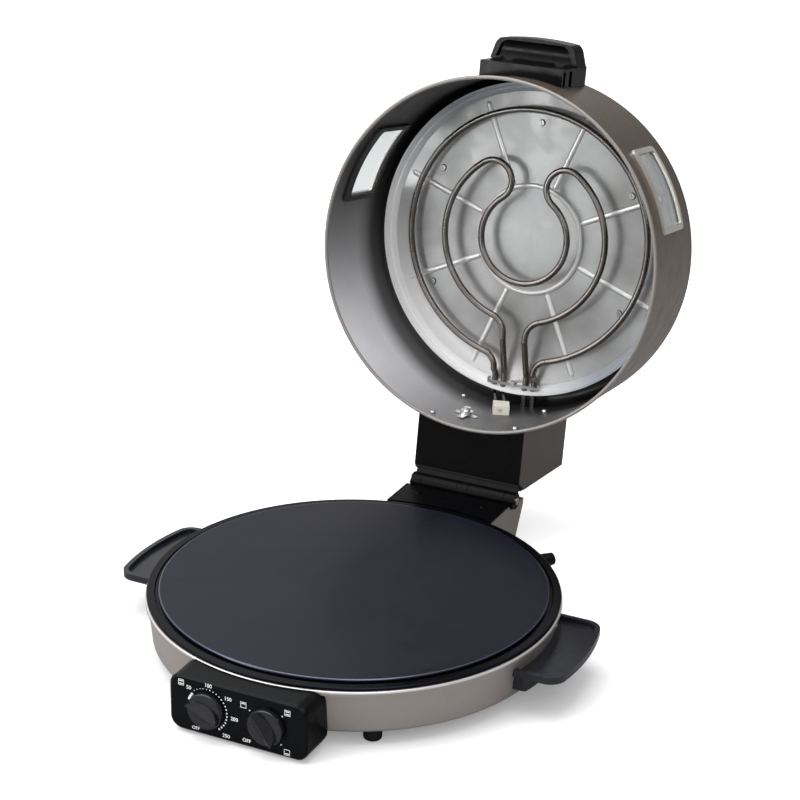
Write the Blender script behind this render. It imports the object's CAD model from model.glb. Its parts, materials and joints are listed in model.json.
"""Looks for the electric roti maker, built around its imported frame.

Metres, in the part's own frame: +Y is the hinge side, -Y the control side, +Z up.
"""
import json
import math

import bmesh
import bpy
from mathutils import Matrix, Vector


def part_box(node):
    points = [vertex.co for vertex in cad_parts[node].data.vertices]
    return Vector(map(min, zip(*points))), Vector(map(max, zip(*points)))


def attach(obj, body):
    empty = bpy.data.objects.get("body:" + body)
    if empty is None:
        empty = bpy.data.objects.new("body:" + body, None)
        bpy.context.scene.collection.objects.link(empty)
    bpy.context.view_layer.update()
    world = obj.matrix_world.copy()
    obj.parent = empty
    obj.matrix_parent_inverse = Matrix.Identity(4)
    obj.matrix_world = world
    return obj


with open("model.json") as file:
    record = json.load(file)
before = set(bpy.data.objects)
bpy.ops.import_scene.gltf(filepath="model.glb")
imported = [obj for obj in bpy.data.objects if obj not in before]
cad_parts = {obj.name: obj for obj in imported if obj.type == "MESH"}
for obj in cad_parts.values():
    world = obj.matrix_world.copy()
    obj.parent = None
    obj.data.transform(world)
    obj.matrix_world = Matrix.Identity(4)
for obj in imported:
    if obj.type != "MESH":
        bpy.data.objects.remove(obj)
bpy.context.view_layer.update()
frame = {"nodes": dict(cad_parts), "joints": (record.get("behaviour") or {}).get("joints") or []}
nodes = frame["nodes"]

# Places that come from the frame
plate_lo, plate_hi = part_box("baking_plate")
PLATE_Y = (plate_lo[1] + plate_hi[1]) / 2
PLATE_R = (plate_hi[0] - plate_lo[0]) / 2
DISC_Z = plate_hi[2]
DISC_R = PLATE_R - 0.012
LIP_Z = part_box("base_shell")[1][2]
FRONT_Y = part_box("control_box")[0][1]
HINGE = Vector(next(j["pos_m"] for j in frame["joints"] if j["name"] == "lid_hinge"))
OPEN = math.radians(98.9)

# The open lid's axis: where it crosses the rim's plane, and its direction away from the rim
lid_turn = Matrix.Translation(HINGE) @ Matrix.Rotation(-OPEN, 4, "X") @ Matrix.Translation(-HINGE)
LID_FOOT = lid_turn @ Vector((0, PLATE_Y, DISC_Z + 0.0005))
LID_AXIS = (Matrix.Rotation(-OPEN, 3, "X") @ Vector((0, 0, 1))).normalized()
# The flat part of the reflector: its distance from the rim, and its radius
DISH_ALONG = 0.128
DISH_R = 0.1638
DISH_SHIFT = Matrix.Rotation(-OPEN, 3, "X") @ Vector((0, -0.004, 0))
# How far the ribs stand out of the dish, and where the sheen next to its edge starts and ends
RIB_RISE = 0.0007
SHEEN_FROM = 0.132
SHEEN_TO = 0.152
# Width of the lid's rolled rim, and where its inside darkens towards the reflector
RIM_WIDTH = 0.0036
DARK_FROM = 0.072
DARK_TO = 0.108
# Heights and widths of the bright edges of the pan's lip and of the disc
LIP_BAND = 0.0022
DISC_BAND = 0.0014


def knob_centre(name):
    lo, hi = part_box(name)
    return (lo[0] + hi[0]) / 2, (lo[2] + hi[2]) / 2


# Node helpers


class Nodes:
    """A small builder for one material's nodes."""

    def __init__(self, name):
        self.material = bpy.data.materials.new(name)
        self.material.use_nodes = True
        self.tree = self.material.node_tree
        self.shader = self.tree.nodes["Principled BSDF"]
        self.coords = self.tree.nodes.new("ShaderNodeTexCoord").outputs["Object"]

    def new(self, kind, **values):
        node = self.tree.nodes.new("ShaderNode" + kind)
        for key, value in values.items():
            if key in node.inputs.keys():
                node.inputs[key].default_value = value
            else:
                setattr(node, key, value)
        return node

    def link(self, source, target):
        self.tree.links.new(source, target)
        return source

    def stretched(self, scale):
        node = self.new("Mapping")
        node.inputs["Scale"].default_value = scale
        self.link(self.coords, node.inputs["Vector"])
        return node.outputs["Vector"]

    def noise(self, scale, detail=4.0, roughness=0.55, coords=None, distortion=0.0):
        node = self.new("TexNoise", Scale=scale, Detail=detail, Roughness=roughness, Distortion=distortion)
        self.link(coords or self.coords, node.inputs["Vector"])
        return node.outputs["Fac"]

    def cells(self, scale):
        node = self.new("TexVoronoi", Scale=scale)
        self.link(self.coords, node.inputs["Vector"])
        return node.outputs["Distance"]

    def ramp(self, source, stops):
        node = self.new("ValToRGB")
        while len(node.color_ramp.elements) < len(stops):
            node.color_ramp.elements.new(0.5)
        for element, (place, colour) in zip(node.color_ramp.elements, stops):
            element.position = place
            element.color = (*colour, 1) if len(colour) == 3 else colour
        self.link(source, node.inputs["Fac"])
        return node.outputs["Color"]

    def span(self, source, low, high, from_low=0.3, from_high=0.7):
        node = self.new("MapRange")
        for key, value in (("From Min", from_low), ("From Max", from_high), ("To Min", low), ("To Max", high)):
            node.inputs[key].default_value = value
        self.link(source, node.inputs["Value"])
        return node.outputs["Result"]

    def mix(self, factor, a, b):
        node = self.new("Mix", data_type="RGBA")
        for source, key in ((factor, 0), (a, 6), (b, 7)):
            if isinstance(source, (tuple, list)):
                node.inputs[key].default_value = (*source, 1)
            elif isinstance(source, (int, float)):
                node.inputs[key].default_value = source
            else:
                self.link(source, node.inputs[key])
        return node.outputs[2]

    def maths(self, operation, a, b=0.0):
        node = self.new("Math", operation=operation)
        for key, source in enumerate((a, b)):
            if isinstance(source, (int, float)):
                node.inputs[key].default_value = source
            else:
                self.link(source, node.inputs[key])
        return node.outputs["Value"]

    def bump(self, height, strength, distance):
        node = self.new("Bump", Strength=strength, Distance=distance)
        self.link(height, node.inputs["Height"])
        return node.outputs["Normal"]

    def feed(self, **sources):
        """Sets or links the shader's inputs, named with underscores for spaces."""
        for key, source in sources.items():
            socket = self.shader.inputs[key.replace("_", " ")]
            if isinstance(source, bpy.types.NodeSocket):
                self.link(source, socket)
            elif isinstance(source, (tuple, list)):
                socket.default_value = (*source, 1) if len(source) == 3 else source
            else:
                socket.default_value = source
        return self.material


def paint(node_name, material):
    """Gives a CAD node one material on all its slots."""
    mesh = nodes[node_name].data
    if not mesh.materials:
        mesh.materials.append(material)
    for i in range(len(mesh.materials)):
        mesh.materials[i] = material


def shade(colour, factor):
    return tuple(c * factor for c in colour)


# Materials


def metallic_paint(name, colour, rough=0.36, lip=None):
    """Fine metallic lacquer: tiny flakes, slight orange peel, and faint patches of handling."""
    n = Nodes(name)
    flake = n.noise(2600, 2, 0.6)
    patch = n.noise(9, 3)
    colour_out = n.mix(n.span(flake, 0, 1, 0.35, 0.65), shade(colour, 0.86), shade(colour, 1.14))
    if lip is not None:
        # Worn brighter along the top edge
        place = n.new("SeparateXYZ")
        n.link(n.coords, place.inputs["Vector"])
        colour_out = n.mix(n.maths("GREATER_THAN", place.outputs["Z"], lip), colour_out, (0.72, 0.70, 0.69))
    peel = n.bump(n.noise(420, 2), 0.05, 0.0004)
    return n.feed(Base_Color=colour_out, Metallic=0.55, Normal=peel,
                  Roughness=n.span(patch, rough - 0.03, rough + 0.05))


def lid_measures(n):
    """Distance along the open lid's axis from the rim, and the part of the place across that axis."""
    offset = n.new("VectorMath", operation="SUBTRACT")
    n.link(n.coords, offset.inputs[0])
    offset.inputs[1].default_value = LID_FOOT
    along = n.new("VectorMath", operation="DOT_PRODUCT")
    n.link(offset.outputs["Vector"], along.inputs[0])
    along.inputs[1].default_value = LID_AXIS
    back = n.new("VectorMath", operation="SCALE")
    back.inputs[0].default_value = LID_AXIS
    n.link(along.outputs["Value"], back.inputs["Scale"])
    across = n.new("VectorMath", operation="SUBTRACT")
    n.link(offset.outputs["Vector"], across.inputs[0])
    n.link(back.outputs["Vector"], across.inputs[1])
    return along.outputs["Value"], across.outputs["Vector"]


def lid_side(n, across):
    """One on the side of the lid that is low on the left when it stands open, and zero on the far side."""
    heading = n.new("VectorMath", operation="NORMALIZE")
    n.link(across, heading.inputs[0])
    match = n.new("VectorMath", operation="DOT_PRODUCT")
    n.link(heading.outputs["Vector"], match.inputs[0])
    match.inputs[1].default_value = (-0.80, 0, -0.60)
    return n.maths("MAXIMUM", match.outputs["Value"], 0.0)


def lid_paint():
    """The lid's sheet: warm lacquer outside, grey heat resistant coat inside."""
    n = Nodes("lid_coat")
    geometry = n.new("TexCoord")
    along, across = lid_measures(n)
    facing = n.new("VectorMath", operation="DOT_PRODUCT")
    n.link(across, facing.inputs[0])
    n.link(geometry.outputs["Normal"], facing.inputs[1])
    # The top faces along the axis: its outside looks away from the rim
    outward = n.new("VectorMath", operation="DOT_PRODUCT")
    n.link(geometry.outputs["Normal"], outward.inputs[0])
    outward.inputs[1].default_value = LID_AXIS
    side = n.maths("ADD", facing.outputs["Value"], n.maths("MULTIPLY", outward.outputs["Value"], 0.15))
    outside = n.maths("GREATER_THAN", side, 0.0)
    # The rolled rim shows bare bright metal
    rim = n.maths("LESS_THAN", along, RIM_WIDTH)
    flake = n.span(n.noise(2600, 2, 0.6), 0, 1, 0.35, 0.65)
    out_colour = n.mix(flake, (0.126, 0.099, 0.079), (0.166, 0.134, 0.108))
    stain = n.span(n.noise(7, 5), 0, 1, 0.35, 0.7)
    in_colour = n.mix(stain, (0.165, 0.163, 0.169), (0.205, 0.202, 0.209))
    # Baked darker towards the handle's side, and rubbed lighter low on one side
    aside = lid_side(n, across)
    worn = n.maths("ADD", n.maths("MULTIPLY", n.maths("POWER", aside, 8.0), 2.9),
                   n.maths("MULTIPLY", n.maths("POWER", aside, 3.0), 1.5))
    worn = n.maths("ADD", worn, 0.28)
    # Darkest next to the reflector
    worn = n.maths("MULTIPLY", worn, n.span(along, 1.06, 0.30, DARK_FROM, DARK_TO))
    in_scaled = n.new("VectorMath", operation="SCALE")
    n.link(in_colour, in_scaled.inputs[0])
    n.link(worn, in_scaled.inputs["Scale"])
    colour = n.mix(outside, in_scaled.outputs["Vector"], out_colour)
    colour = n.mix(rim, colour, (0.26, 0.243, 0.230))
    rough = n.maths("ADD", n.maths("MULTIPLY", outside, -0.06), n.span(n.noise(60, 3), 0.34, 0.44))
    metal = n.maths("ADD", n.maths("MULTIPLY", outside, 0.35), 0.25)
    return n.feed(Base_Color=colour, Metallic=metal, Roughness=rough,
                  Normal=n.bump(n.noise(500, 2), 0.06, 0.0004))


def reflector_metal():
    """Galvanised dish: slow dull blotches, bright pressed ribs and ring, and a pale flare."""
    n = Nodes("reflector_sheet")
    along, across = lid_measures(n)
    centred = n.new("VectorMath", operation="SUBTRACT")
    n.link(across, centred.inputs[0])
    centred.inputs[1].default_value = DISH_SHIFT
    reach = n.new("VectorMath", operation="LENGTH")
    n.link(centred.outputs["Vector"], reach.inputs[0])
    clouds = n.span(n.noise(22, 6, 0.62, distortion=0.5), 0, 1)
    tone = n.mix(clouds, (0.34, 0.345, 0.345), (0.50, 0.505, 0.51))
    stains = n.span(n.noise(8, 3, 0.5), 0, 0.85, 0.45, 0.66)
    tone = n.mix(stains, tone, (0.20, 0.197, 0.190))
    raised = n.maths("LESS_THAN", along, DISH_ALONG - RIB_RISE)
    flare = n.maths("GREATER_THAN", reach.outputs["Value"], DISH_R)
    rib = n.maths("MULTIPLY", raised, n.maths("SUBTRACT", 1.0, flare))
    tone = n.mix(rib, tone, (0.82, 0.82, 0.81))
    # The flare is dull on the handle's side and bright low on the other
    pale = n.mix(n.span(lid_side(n, across), 0, 1, 0.0, 0.7), (0.34, 0.36, 0.40), (1.0, 1.0, 1.0))
    sheen = n.span(reach.outputs["Value"], 0, 1, SHEEN_FROM, SHEEN_TO)
    near = n.maths("MULTIPLY", sheen, lid_side(n, across))
    tone = n.mix(near, tone, (1.0, 1.0, 1.0))
    tone = n.mix(flare, tone, pale)
    metal = n.maths("SUBTRACT", 0.70, n.maths("MULTIPLY", flare, 0.56))
    lines = n.noise(240, 4, 0.7, n.stretched((1, 1, 6)))
    return n.feed(Base_Color=tone, Metallic=metal, Roughness=n.span(clouds, 0.34, 0.46),
                  Normal=n.bump(lines, 0.03, 0.0003))


def plate_coat():
    """Dark non-stick coat on a cast plate: a mottled sheen over a fine cast grain."""
    n = Nodes("non_stick_coat")
    speckle = n.span(n.noise(900, 3, 0.7), 0, 1, 0.35, 0.7)
    cloud = n.span(n.noise(11, 5, 0.6), 0, 1)
    base = n.mix(speckle, (0.0022, 0.0023, 0.0052), (0.0052, 0.0054, 0.0105))
    base = n.mix(n.maths("MULTIPLY", cloud, 0.35), base, (0.0085, 0.0088, 0.0155))
    grain = n.bump(n.noise(650, 3, 0.6), 0.14, 0.0005)
    # The coat shines on the disc's rounded edge and is black and glossy on the shoulder
    spread = n.new("VectorMath", operation="SUBTRACT")
    n.link(n.coords, spread.inputs[0])
    spread.inputs[1].default_value = (0, PLATE_Y, 0)
    flat = n.new("VectorMath", operation="MULTIPLY")
    n.link(spread.outputs["Vector"], flat.inputs[0])
    flat.inputs[1].default_value = (1, 1, 0)
    reach = n.new("VectorMath", operation="LENGTH")
    n.link(flat.outputs["Vector"], reach.inputs[0])
    radius = reach.outputs["Value"]
    edge = n.maths("GREATER_THAN", radius, DISC_R - DISC_BAND)
    shoulder = n.maths("GREATER_THAN", radius, DISC_R + 0.0001)
    band = n.maths("SUBTRACT", edge, shoulder)
    base = n.mix(shoulder, base, (0.0012, 0.0012, 0.0018))
    edge_shine = n.maths("ADD", 0.30, n.maths("MULTIPLY", band, 0.9))
    shine = n.maths("ADD", edge_shine, n.maths("MULTIPLY", shoulder, -0.16))
    rough = n.maths("SUBTRACT", n.span(cloud, 0.30, 0.38), n.maths("MULTIPLY", edge, 0.14))
    return n.feed(Base_Color=base, Roughness=rough, Specular_IOR_Level=shine, Coat_Weight=band,
                  Coat_Roughness=0.16, Coat_Tint=(0.86, 0.88, 1.0), Specular_Tint=(0.66, 0.67, 1.0),
                  Normal=grain)


def moulded(name, colour, rough, grain=0.10, shine=0.5):
    """Moulded plastic with a fine grain and a slightly uneven sheen."""
    n = Nodes(name)
    soft = n.noise(30, 4)
    tone = n.mix(n.span(soft, 0, 1), shade(colour, 0.85), shade(colour, 1.2))
    bumps = n.bump(n.noise(1500, 2), grain, 0.0003)
    return n.feed(Base_Color=tone, Roughness=n.span(n.noise(90, 3), rough - 0.04, rough + 0.06), Normal=bumps,
                  Specular_IOR_Level=shine)


def sheet_metal(name, colour, rough, blotch=0.12, stretch=(1, 1, 1), metallic=1.0, grain=0.05):
    """Bare sheet with a spangle of faint blotches and fine rolling marks."""
    n = Nodes(name)
    lines = n.noise(240, 4, 0.7, n.stretched(stretch))
    clouds = n.noise(26, 6, 0.65, distortion=0.6)
    cells = n.span(n.cells(75), 0, 1, 0.0, 0.9)
    tone = n.mix(n.span(clouds, 0, 1), shade(colour, 1 - blotch), shade(colour, 1 + blotch))
    tone = n.mix(n.maths("MULTIPLY", cells, 0.25), tone, shade(colour, 1 - 1.6 * blotch))
    rough_out = n.maths("ADD", n.span(clouds, rough - 0.05, rough + 0.08), n.span(lines, -0.03, 0.03))
    return n.feed(Base_Color=tone, Metallic=metallic, Roughness=rough_out, Normal=n.bump(lines, grain, 0.0004))


def smooth_metal(name, colour, rough):
    """Plated or polished metal with a slow, faint change of tone and no grain."""
    n = Nodes(name)
    slow = n.noise(14, 3)
    tone = n.mix(n.span(slow, 0, 1), shade(colour, 0.92), shade(colour, 1.06))
    return n.feed(Base_Color=tone, Metallic=1.0, Roughness=n.span(slow, rough - 0.03, rough + 0.03),
                  Normal=n.bump(n.noise(300, 2), 0.01, 0.0002))


def heated_tube():
    """Element sheath: steel browned by heat in slow patches, with dull and bright runs."""
    n = Nodes("heated_tube")
    heat = n.noise(22, 4, 0.6)
    tone = n.ramp(heat, ((0.30, (0.165, 0.150, 0.140)), (0.5, (0.215, 0.198, 0.185)),
                         (0.72, (0.275, 0.260, 0.250))))
    return n.feed(Base_Color=tone, Metallic=1.0, Roughness=n.span(n.noise(30, 2), 0.24, 0.32),
                  Normal=n.bump(n.noise(200, 2), 0.015, 0.0002))


def clear_glass():
    n = Nodes("window_glass")
    haze = n.span(n.noise(40, 4), 0.02, 0.08)
    return n.feed(Base_Color=(0.93, 0.96, 0.96), Roughness=haze, Transmission_Weight=1.0, IOR=1.45,
                  Normal=n.bump(n.noise(12, 2), 0.02, 0.001))


def ceramic():
    n = Nodes("ceramic")
    pores = n.span(n.noise(1400, 3, 0.7), 0, 1, 0.3, 0.55)
    tone = n.mix(pores, (0.66, 0.62, 0.53), (0.86, 0.83, 0.75))
    return n.feed(Base_Color=tone, Roughness=0.75, Normal=n.bump(pores, 0.2, 0.0004))


def print_ink():
    n = Nodes("print_ink")
    tone = n.mix(n.span(n.noise(1800, 2), 0, 1), (0.74, 0.75, 0.76), (0.84, 0.85, 0.85))
    return n.feed(Base_Color=tone, Roughness=0.5)


pan_paint = metallic_paint("pan_lacquer", (0.36, 0.326, 0.310), 0.34, LIP_Z - LIP_BAND)
lid_coat = lid_paint()
housing_paint = metallic_paint("housing_lacquer", (0.105, 0.092, 0.085), 0.4)
bracket_paint = metallic_paint("bracket_lacquer", (0.30, 0.275, 0.265), 0.4)
coat_black = moulded("black_powder_coat", (0.0014, 0.0014, 0.0018), 0.30, 0.06, 0.08)
plastic_black = moulded("black_plastic", (0.0022, 0.0026, 0.0032), 0.24, 0.06, 0.12)
handle_black = moulded("handle_plastic", (0.0018, 0.0018, 0.0022), 0.17, 0.05, 0.13)
side_handle_black = moulded("side_handle_plastic", (0.0110, 0.0118, 0.0160), 0.22, 0.03, 0.50)
knob_black = moulded("knob_plastic", (0.0085, 0.0088, 0.0115), 0.24, 0.05, 0.60)
rubber = moulded("rubber", (0.006, 0.006, 0.006), 0.7, 0.25, 0.3)
zinc = sheet_metal("zinc_steel", (0.60, 0.60, 0.60), 0.28, 0.08)
bracket_steel = sheet_metal("cover_sheet", (0.46, 0.46, 0.46), 0.42, 0.10, (1, 12, 1))
reflector_sheet = reflector_metal()
shield_sheet = sheet_metal("shield_sheet", (0.60, 0.60, 0.60), 0.34, 0.12)
clip_metal = smooth_metal("clip_metal", (0.34, 0.34, 0.34), 0.30)
cutout_metal = smooth_metal("cutout_metal", (0.86, 0.86, 0.85), 0.30)
trim = sheet_metal("window_trim", (0.62, 0.60, 0.55), 0.35, 0.06, (1, 1, 1), 0.6)
liner_dark = moulded("liner_coat", (0.020, 0.020, 0.021), 0.35, 0.1, 0.4)
cream = moulded("cream_moulding", (0.62, 0.58, 0.50), 0.45, 0.1)
tube = heated_tube()
glass = clear_glass()

LOOKS = {
    pan_paint: ("base_shell",),
    lid_coat: ("lid_shell",),
    housing_paint: ("hinge_housing",),
    bracket_paint: ("hinge_bracket",),
    coat_black: ("housing_face", "hinge_leaf", "hinge_top_leaf", "hinge_top_screws"),
    plastic_black: ("control_box", "cord_gland"),
    handle_black: ("lid_handle_base", "lid_handle_grip"),
    side_handle_black: ("left_handle", "right_handle"),
    knob_black: ("thermostat_knob", "selector_knob"),
    rubber: ("feet", "stop_bumpers"),
    plate_coat(): ("baking_plate",),
    bracket_steel: ("bottom_cover",),
    reflector_sheet: ("reflector",),
    shield_sheet: ("heat_shield",),
    trim: ("left_window_frame", "right_window_frame"),
    liner_dark: ("left_window_liner", "right_window_liner"),
    glass: ("left_window_glass", "right_window_glass"),
    tube: ("outer_element", "inner_element", "lower_element"),
    ceramic(): ("ceramic_block",),
    cream: ("selector_switch", "terminal_block"),
    zinc: ("bottom_screws", "plate_studs", "element_straps", "thermostat_body", "thermostat_shaft",
           "selector_shaft", "left_handle_screws", "right_handle_screws", "hinge_pin",
           "reflector_spacers", "clip_screw", "lid_handle_screws", "housing_screws"),
    clip_metal: ("element_clip", "reflector_screws"),
    cutout_metal: ("thermal_cutout",),
}
for look, names in LOOKS.items():
    for name in names:
        paint(name, look)

# Dial print

INK = 0.00012
ink = print_ink()


def flat_piece(name, polygons, body):
    """Thin raised print on the control box's front: polygons are lists of (x, z)."""
    mesh = bpy.data.meshes.new(name)
    bm = bmesh.new()
    for points in polygons:
        face = bm.faces.new([bm.verts.new((x, FRONT_Y, z)) for x, z in points])
        face.normal_update()
        if face.normal.y > 0:
            face.normal_flip()
        grown = bmesh.ops.extrude_face_region(bm, geom=[face])
        bmesh.ops.translate(bm, verts=[v for v in grown["geom"] if isinstance(v, bmesh.types.BMVert)],
                            vec=(0, -INK, 0))
    bmesh.ops.recalc_face_normals(bm, faces=bm.faces)
    bm.to_mesh(mesh)
    bm.free()
    piece = bpy.data.objects.new(name, mesh)
    bpy.context.scene.collection.objects.link(piece)
    mesh.materials.append(ink)
    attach(piece, body)


def on_dial(centre, radius, degrees):
    a = math.radians(degrees)
    return centre[0] + radius * math.cos(a), centre[1] + radius * math.sin(a)


def arc_strip(centre, inner, outer, start, stop, steps=10):
    angles = [start + (stop - start) * i / steps for i in range(steps + 1)]
    return [on_dial(centre, outer, a) for a in angles] + [on_dial(centre, inner, a) for a in reversed(angles)]


def lettering(name, words, centre, height, body):
    curve = bpy.data.curves.new(name, "FONT")
    curve.body = words
    curve.size = height
    curve.align_x = "CENTER"
    curve.align_y = "CENTER"
    curve.extrude = INK
    curve.offset = height * 0.012
    text = bpy.data.objects.new(name, curve)
    text.rotation_euler = (math.pi / 2, 0, 0)
    text.location = (centre[0], FRONT_Y, centre[1])
    bpy.context.scene.collection.objects.link(text)
    bpy.context.view_layer.update()
    mesh = bpy.data.meshes.new_from_object(text.evaluated_get(bpy.context.evaluated_depsgraph_get()))
    mesh.transform(text.matrix_world)
    bpy.data.objects.remove(text)
    mesh.materials.clear()
    mesh.materials.append(ink)
    piece = bpy.data.objects.new(name, mesh)
    bpy.context.scene.collection.objects.link(piece)
    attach(piece, body)


thermostat = knob_centre("thermostat_shaft")
selector = knob_centre("selector_shaft")

# Thermostat: a thick start bar, then dots that grow towards the hot end
RING = 0.0212
flat_piece("thermostat_start_bar", [arc_strip(thermostat, RING - 0.0024, RING - 0.0002, 163, 138)], "base")
dots = []
for step in range(20):
    angle = 128 - step * 9.5
    grow = 0.00036 + 0.00052 * step / 19
    half = math.degrees(grow / RING)
    dots.append(arc_strip(thermostat, RING - grow, RING + grow, angle + half, angle - half, 3))
flat_piece("thermostat_dots", dots, "base")
NUMBERS = (("50", 136, 0.0262), ("100", 86, 0.0252), ("150", 37, 0.0280), ("200", -5, 0.0290),
           ("250", -48, 0.0300))
for words, degrees, radius in NUMBERS:
    lettering("thermostat_" + words, words, on_dial(thermostat, radius, degrees), 0.0052, "base")
lettering("thermostat_off", "OFF", on_dial(thermostat, 0.0255, -118), 0.0046, "base")


def heat_mark(centre, top, bottom, side=0.0030):
    """A small generic sign for a heating mode: a box with a bar for the heater above, below or both."""
    x, z = centre
    line = side * 0.16
    parts = [
        [(x - side, z + side), (x + side, z + side), (x + side, z + side - line),
         (x - side, z + side - line)],
        [(x - side, z - side + line), (x + side, z - side + line), (x + side, z - side),
         (x - side, z - side)],
        [(x - side, z + side - line), (x - side + line, z + side - line), (x - side + line, z - side + line),
         (x - side, z - side + line)],
        [(x + side - line, z + side - line), (x + side, z + side - line), (x + side, z - side + line),
         (x + side - line, z - side + line)],
    ]
    for wanted, level in ((top, 0.45), (bottom, -0.45)):
        if wanted:
            half, low, high = side * 0.62, side * (level - 0.16), side * (level + 0.16)
            parts.append([(x - half, z + high), (x + half, z + high), (x + half, z + low), (x - half, z + low)])
    return parts


# Angle and distance from the selector's middle, and whether the upper and the lower heater are on
MODES = ((148, 0.0288, True, False), (42, 0.0282, True, True), (-47, 0.0300, False, True))
signs = heat_mark(on_dial(thermostat, 0.0347, 141), True, True)
for degrees, radius, top, bottom in MODES:
    signs += heat_mark(on_dial(selector, radius, degrees), top, bottom)
    signs.append(arc_strip(selector, 0.0207, 0.0217, degrees - 2, degrees + 2, 2))
flat_piece("selector_signs", signs, "base")
lettering("selector_off", "OFF", on_dial(selector, 0.0300, -135), 0.0050, "base")

# Hinge webs

# The leaf's slanted plane beside the pin with the lid closed: its run, and its direction away from the pin
LEAF_RUN = Vector((0, 9.0, 15.0)).normalized()
LEAF_OUT = Vector((0, -LEAF_RUN.z, LEAF_RUN.y))
KNUCKLE_ROOM = 0.0095
LEAF_GAP = 0.0155
LEAF_HALF = 0.061
WEB_WIDTH = 0.012
WEB_LAP = 0.0005
WEB_LEFTS = (("left", -0.0575), ("middle", -0.0025), ("right", 0.0525))


def hinge_web(name, left):
    """Dark fold behind one of the pan's knuckles: it follows the knuckle's round and ends at the lid's leaf."""
    steps = 6
    low, high = 0.001, 0.008
    rounds = [high + (low - high) * i / steps for i in range(steps + 1)]
    profile = [(low, LEAF_GAP), (high, LEAF_GAP)]
    profile += [(u, math.sqrt(KNUCKLE_ROOM ** 2 - u * u)) for u in rounds]
    ends = (left - WEB_LAP, min(left + WEB_WIDTH + WEB_LAP, LEAF_HALF))
    bm = bmesh.new()
    rings = []
    for x in ends:
        places = [HINGE + Vector((x - HINGE.x, 0, 0)) + u * LEAF_RUN + v * LEAF_OUT for u, v in profile]
        rings.append([bm.verts.new(lid_turn @ place) for place in places])
    count = len(profile)
    bm.faces.new(rings[0])
    bm.faces.new(list(reversed(rings[1])))
    for i in range(count):
        bm.faces.new((rings[0][i], rings[1][i], rings[1][(i + 1) % count], rings[0][(i + 1) % count]))
    bmesh.ops.recalc_face_normals(bm, faces=bm.faces)
    mesh = bpy.data.meshes.new(name)
    bm.to_mesh(mesh)
    bm.free()
    mesh.materials.append(coat_black)
    piece = bpy.data.objects.new(name, mesh)
    bpy.context.scene.collection.objects.link(piece)
    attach(piece, "lid")


for place, left in WEB_LEFTS:
    hinge_web("hinge_web_" + place, left)

# Floor, light and camera

IMAGE_SIDE = 800
FOCAL_PX = 2217.91
SENSOR = 36.0
CAMERA_AT = Vector((0.88258, -1.75460 + PLATE_Y, 1.06378))
TURN, TILT, ROLL = (math.radians(v) for v in (25.49275, 22.17866, 1.14968))

back = Vector((math.sin(TURN) * math.cos(TILT), -math.cos(TURN) * math.cos(TILT), math.sin(TILT)))
right = Vector((math.cos(TURN), math.sin(TURN), 0))
up = back.cross(right)
c, s = math.cos(ROLL), math.sin(ROLL)
right, up = c * right + s * up, -s * right + c * up
camera_data = bpy.data.cameras.new("photo_camera")
camera_data.sensor_width = SENSOR
camera_data.lens = FOCAL_PX / IMAGE_SIDE * SENSOR
camera_data.clip_end = 50
camera = bpy.data.objects.new("photo_camera", camera_data)
camera.matrix_world = Matrix.Translation(CAMERA_AT) @ Matrix((right, up, back)).transposed().to_4x4()
bpy.context.scene.collection.objects.link(camera)
bpy.context.scene.camera = camera


def floor_material():
    """Plain white floor that keeps a faint shadow, and is seen dimmer in reflections."""
    n = Nodes("studio_floor")
    tone = n.mix(n.span(n.noise(3, 2), 0, 1), (0.80, 0.80, 0.80), (0.84, 0.84, 0.84))
    path = n.new("LightPath")
    seen = n.maths("MAXIMUM", path.outputs["Is Camera Ray"], path.outputs["Is Transmission Ray"])
    # The backdrop's glow washes the shadow out behind the pan
    place = n.new("SeparateXYZ")
    n.link(n.coords, place.inputs["Vector"])
    glow = n.span(place.outputs["Y"], 0.23, 0.60, -0.05, 0.20)
    n.feed(Base_Color=n.mix(path.outputs["Is Glossy Ray"], tone, (0.30, 0.30, 0.30)), Roughness=0.9,
           Specular_IOR_Level=0.0, Emission_Color=(1, 1, 1), Emission_Strength=n.maths("MULTIPLY", seen, glow))
    return n.material


floor_mesh = bpy.data.meshes.new("studio_floor")
FLOOR_SIDE = 14.0
floor_mesh.from_pydata([(x * FLOOR_SIDE, y * FLOOR_SIDE, 0) for x, y in ((-1, -1), (1, -1), (1, 1), (-1, 1))], [],
                       [(0, 1, 2, 3)])
floor_mesh.materials.append(floor_material())
floor = bpy.data.objects.new("studio_floor", floor_mesh)
bpy.context.scene.collection.objects.link(floor)

world = bpy.data.worlds.new("studio")
bpy.context.scene.world = world
world.use_nodes = True
tree = world.node_tree
background = tree.nodes["Background"]
path = tree.nodes.new("ShaderNodeLightPath")
seen = tree.nodes.new("ShaderNodeMath")
seen.operation = "MAXIMUM"
tree.links.new(path.outputs["Is Camera Ray"], seen.inputs[0])
tree.links.new(path.outputs["Is Transmission Ray"], seen.inputs[1])
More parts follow.
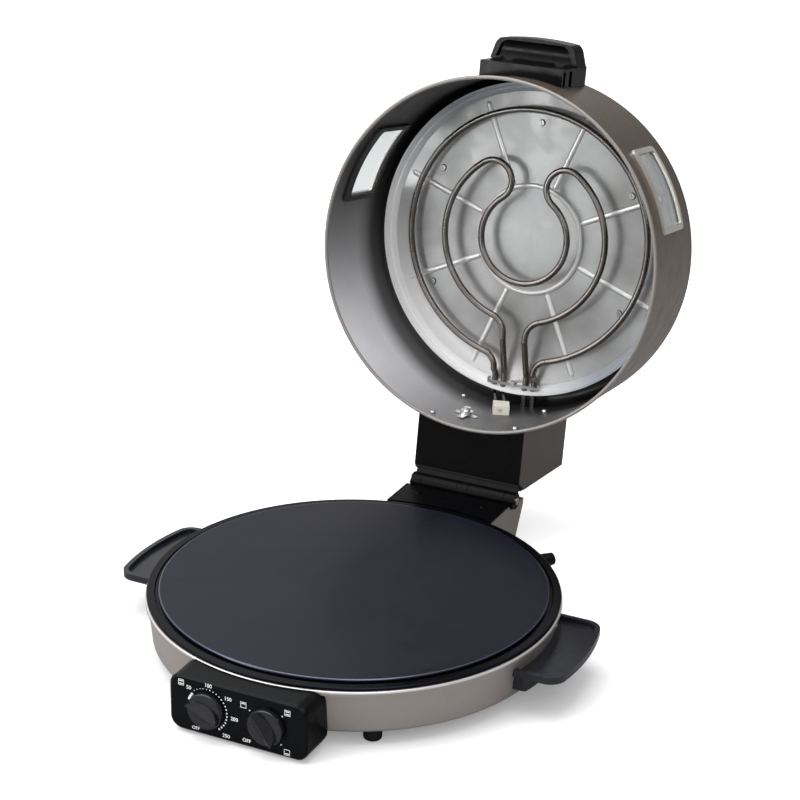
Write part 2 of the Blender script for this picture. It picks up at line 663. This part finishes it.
# The room is dim low down and in front, and bright overhead, behind and to the left
spot = tree.nodes.new("ShaderNodeTexCoord")
split = tree.nodes.new("ShaderNodeSeparateXYZ")
tree.links.new(spot.outputs["Generated"], split.inputs["Vector"])


def world_span(source, from_low, from_high, low, high):
    node = tree.nodes.new("ShaderNodeMapRange")
    node.interpolation_type = "SMOOTHSTEP"
    for key, value in (("From Min", from_low), ("From Max", from_high), ("To Min", low), ("To Max", high)):
        node.inputs[key].default_value = value
    tree.links.new(source, node.inputs["Value"])
    return node.outputs["Result"]


def world_maths(operation, a, b):
    node = tree.nodes.new("ShaderNodeMath")
    node.operation = operation
    for key, source in enumerate((a, b)):
        if isinstance(source, (int, float)):
            node.inputs[key].default_value = source
        else:
            tree.links.new(source, node.inputs[key])
    return node.outputs["Value"]


overhead = world_span(split.outputs["Z"], 0.25, 0.95, 0.0, 0.75)
leftward = world_span(split.outputs["X"], 0.20, -0.85, 0.0, 0.55)
room = world_maths("ADD", world_maths("ADD", overhead, leftward), 0.16)
seen_world = world_maths("MAXIMUM", room, seen.outputs["Value"])
tree.links.new(seen_world, background.inputs["Strength"])
background.inputs["Color"].default_value = (1, 1, 1, 1)


def soft_lamp(name, place, target, side, power):
    data = bpy.data.lights.new(name, "AREA")
    data.shape = "RECTANGLE"
    data.size, data.size_y = side
    data.energy = power
    lamp = bpy.data.objects.new(name, data)
    lamp.location = place
    lamp.rotation_euler = (Vector(target) - Vector(place)).to_track_quat("-Z", "Y").to_euler()
    bpy.context.scene.collection.objects.link(lamp)


middle = (0, 0.05, 0.2)
soft_lamp("key_lamp", (-1.7, -1.5, 2.0), middle, (2.2, 2.2), 34)
soft_lamp("front_lamp", (-1.6, -2.6, 0.6), (0, 0.0, 0.1), (1.2, 0.5), 14)
soft_lamp("fill_lamp", (1.5, -2.2, 1.9), (0, 0.2, 0.3), (1.4, 1.4), 14)
soft_lamp("top_lamp", (-0.2, 0.0, 2.8), middle, (2.6, 2.2), 48)

view_settings = bpy.context.scene.view_settings
view_settings.view_transform = "Standard"
